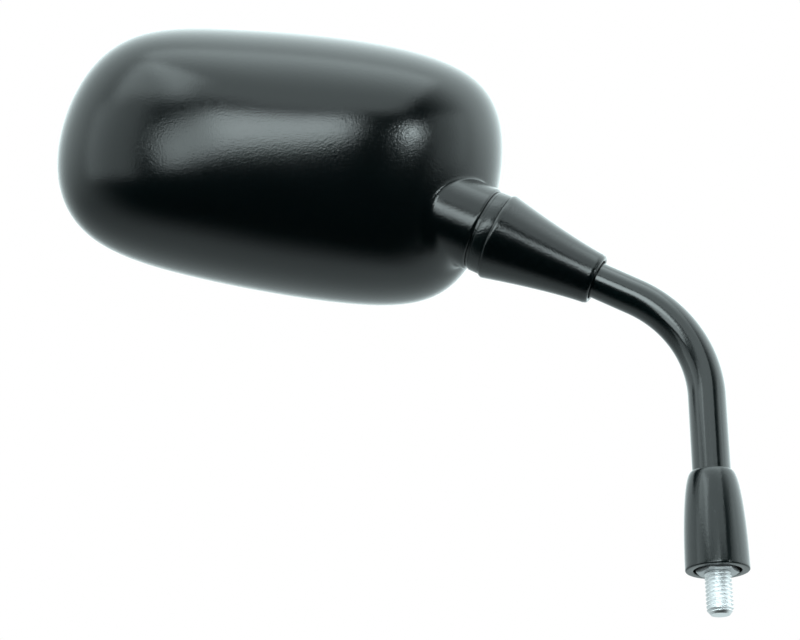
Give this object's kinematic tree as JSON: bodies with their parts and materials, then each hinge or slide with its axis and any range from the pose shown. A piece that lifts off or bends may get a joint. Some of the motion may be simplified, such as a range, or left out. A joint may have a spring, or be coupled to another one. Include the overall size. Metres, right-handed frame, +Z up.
{
  "type": "motorcycle mirror",
  "caption": "Motorcycle mirror with a rounded black moulded head, a covered ball joint at its neck, a bent tube arm and a threaded stud under a rubber cap.",
  "frame": {"origin": "stud axis at the lower face of the lock nut", "axes": "as mounted on the right of the handlebar: +X toward the middle of the motorcycle, +Y toward the rider, +Z up"},
  "size_m": [0.2691, 0.0983, 0.2285],
  "materials": {
    "grained_plastic": "fine moulded grain",
    "cone_plastic": "fine moulded grain",
    "ring_plastic": "satin",
    "plug_plastic": "natural moulded",
    "spring_steel": "spring steel, oiled",
    "washer_steel": "zinc plated",
    "seat_nylon": "natural nylon",
    "liner_plastic": "low-friction plastic",
    "cast_zinc": "die cast, as cast",
    "painted_tube": "semi-gloss black powder coat",
    "zinc_plate": "bright zinc plated",
    "cap_rubber": "satin",
    "carrier_plastic": "moulded",
    "screw_steel": "zinc plated",
    "foam": "closed-cell foam",
    "mirror_glass": "silvered convex glass",
    "seal_rubber": "satin"
  },
  "bodies": {
    "stem": {"tube": "painted_tube", "stud": "zinc_plate", "lock_nut": "zinc_plate", "lock_washer": "zinc_plate", "pivot_ball": "cast_zinc", "cone_shroud": "cone_plastic"},
    "cap": {"dust_cap": "cap_rubber"},
    "liner": {"ball_liner": "liner_plastic"},
    "seats": {"seat_front": "seat_nylon", "seat_rear": "seat_nylon"},
    "head": {"housing": "grained_plastic", "retainer_ring": "ring_plastic", "thrust_washer": "washer_steel", "disc_springs": "spring_steel", "joint_plug": "plug_plastic", "glass_carrier": "carrier_plastic", "carrier_screws": "screw_steel", "foam_pad": "foam", "mirror_glass": "mirror_glass", "glass_seal": "seal_rubber"}
  },
  "joints": [
    {"name": "cap_lift", "type": "slide", "parent": "stem", "child": "cap", "axis": [0, 0.3811, 0.9245], "range_m": [0, 0.025]},
    {"name": "head_pan", "type": "hinge", "parent": "stem", "child": "liner", "pos_m": [-0.08669, 0.05872, 0.13032], "axis": [0, 0, 1], "range_deg": [-10, 10]},
    {"name": "head_swing", "type": "hinge", "parent": "liner", "child": "seats", "pos_m": [-0.08669, 0.05872, 0.13032], "axis": [0, 1, 0], "range_deg": [-10, 10]},
    {"name": "head_roll", "type": "hinge", "parent": "seats", "child": "head", "pos_m": [-0.08669, 0.05872, 0.13032], "axis": [-0.888, 0.2181, 0.4047], "continuous": true}
  ]
}
